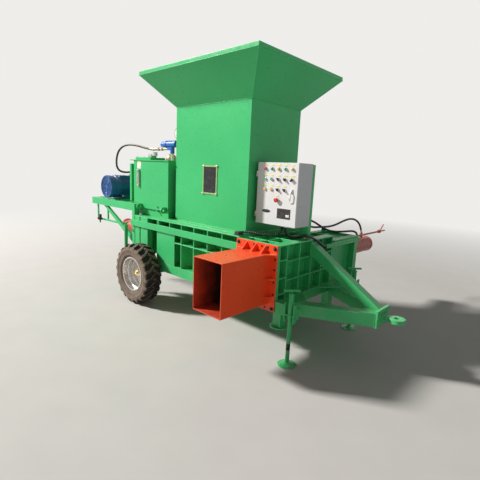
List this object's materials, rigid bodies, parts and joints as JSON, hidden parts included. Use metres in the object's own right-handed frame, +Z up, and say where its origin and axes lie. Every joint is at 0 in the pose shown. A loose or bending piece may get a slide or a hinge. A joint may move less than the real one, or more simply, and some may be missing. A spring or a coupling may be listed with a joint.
{
  "type": "towed hydraulic forage baler",
  "caption": "Towed forage press: a flared hopper and square tower feed a press chamber, and a side ram pushes bales out of a chute.",
  "frame": {"origin": "on the ground under the middle of the machine's bounding box", "axes": "+X forwards to the tow eye, +Y towards the side cylinder, +Z up"},
  "size_m": [4.698, 3.616, 2.85],
  "materials": {
    "green_paint": "gloss",
    "red_paint": "gloss",
    "oxide_paint": "satin",
    "blue_paint": "gloss",
    "grey_paint": "satin",
    "bright_steel": "satin",
    "zinc": "satin",
    "dark_steel": "rough",
    "rubber": "matt",
    "tyre_rubber": "matt",
    "brass": "satin",
    "dark_glass": "gloss",
    "plastic": "satin"
  },
  "bodies": {
    "frame": {"chamber_side_near": "green_paint", "chamber_side_far": "green_paint", "side_bands": "green_paint", "chamber_floor": "green_paint", "chamber_deck": "green_paint", "sills": "green_paint", "rear_columns": "green_paint", "head_plate": "green_paint", "tower": "green_paint", "hopper": "green_paint", "window_frame": "brass", "sight_glass": "dark_glass", "block_front": "green_paint", "block_back": "green_paint", "block_top": "green_paint", "block_floor": "green_paint", "side_housing": "green_paint", "chute": "red_paint", "main_cylinder": "oxide_paint", "side_cylinder": "oxide_paint", "platform_beams": "green_paint", "platform_crossbars": "green_paint", "platform_braces": "green_paint", "motor_plate": "green_paint", "limit_rail": "green_paint", "motor": "blue_paint", "pump": "dark_steel", "tank_base": "green_paint", "oil_tank": "green_paint", "tank_fittings": "green_paint", "valve_block": "blue_paint", "pipe_fittings": "zinc", "cabinet": "grey_paint", "cabinet_post": "green_paint", "drawbar_beams": "green_paint", "drawbar_cross": "green_paint", "drawbar_strut": "green_paint", "nose_plate": "green_paint", "tow_eye": "green_paint", "front_legs": "green_paint", "jack_tubes": "green_paint", "axle": "dark_steel", "pressure_hose": "rubber", "rod_side_hose": "rubber", "head_side_hose": "rubber", "cabinet_cable": "rubber", "drawbar_cable": "rubber"},
    "wheel_near": {"tyre_near": "tyre_rubber", "rim_near": "bright_steel"},
    "wheel_far": {"tyre_far": "tyre_rubber", "rim_far": "bright_steel"},
    "jack_leg_front_near": {"jack_foot_front_near": "green_paint"},
    "jack_leg_front_far": {"jack_foot_front_far": "green_paint"},
    "jack_leg_rear_near": {"jack_foot_rear_near": "green_paint"},
    "jack_leg_rear_far": {"jack_foot_rear_far": "green_paint"},
    "press_ram": {"main_ram": "oxide_paint"},
    "push_ram": {"side_ram": "oxide_paint", "indicator_rod": "oxide_paint"},
    "control_door": {"cabinet_door": "grey_paint", "door_buttons": "plastic"}
  },
  "joints": [
    {"name": "wheel_near_spin", "type": "hinge", "parent": "frame", "child": "wheel_near", "pos_m": [-0.784, -1.303, 0.386], "axis": [0, 1, 0], "continuous": true},
    {"name": "wheel_far_spin", "type": "hinge", "parent": "frame", "child": "wheel_far", "pos_m": [-0.784, 0.169, 0.386], "axis": [0, 1, 0], "continuous": true},
    {"name": "jack_front_near_slide", "type": "slide", "parent": "frame", "child": "jack_leg_front_near", "axis": [0, 0, 1], "range_m": [0, 0.15]},
    {"name": "jack_front_far_slide", "type": "slide", "parent": "frame", "child": "jack_leg_front_far", "axis": [0, 0, 1], "range_m": [0, 0.15]},
    {"name": "jack_rear_near_slide", "type": "slide", "parent": "frame", "child": "jack_leg_rear_near", "axis": [0, 0, 1], "range_m": [0, 0.3]},
    {"name": "jack_rear_far_slide", "type": "slide", "parent": "frame", "child": "jack_leg_rear_far", "axis": [0, 0, 1], "range_m": [0, 0.3]},
    {"name": "press_ram_slide", "type": "slide", "parent": "frame", "child": "press_ram", "axis": [1, 0, 0], "range_m": [0, 1.342]},
    {"name": "push_ram_slide", "type": "slide", "parent": "frame", "child": "push_ram", "axis": [0, -1, 0], "range_m": [0, 0.87]},
    {"name": "control_door_hinge", "type": "hinge", "parent": "frame", "child": "control_door", "pos_m": [0.833, -0.904, 1.543], "axis": [0, 0, -1], "range_deg": [0, 90]}
  ]
}
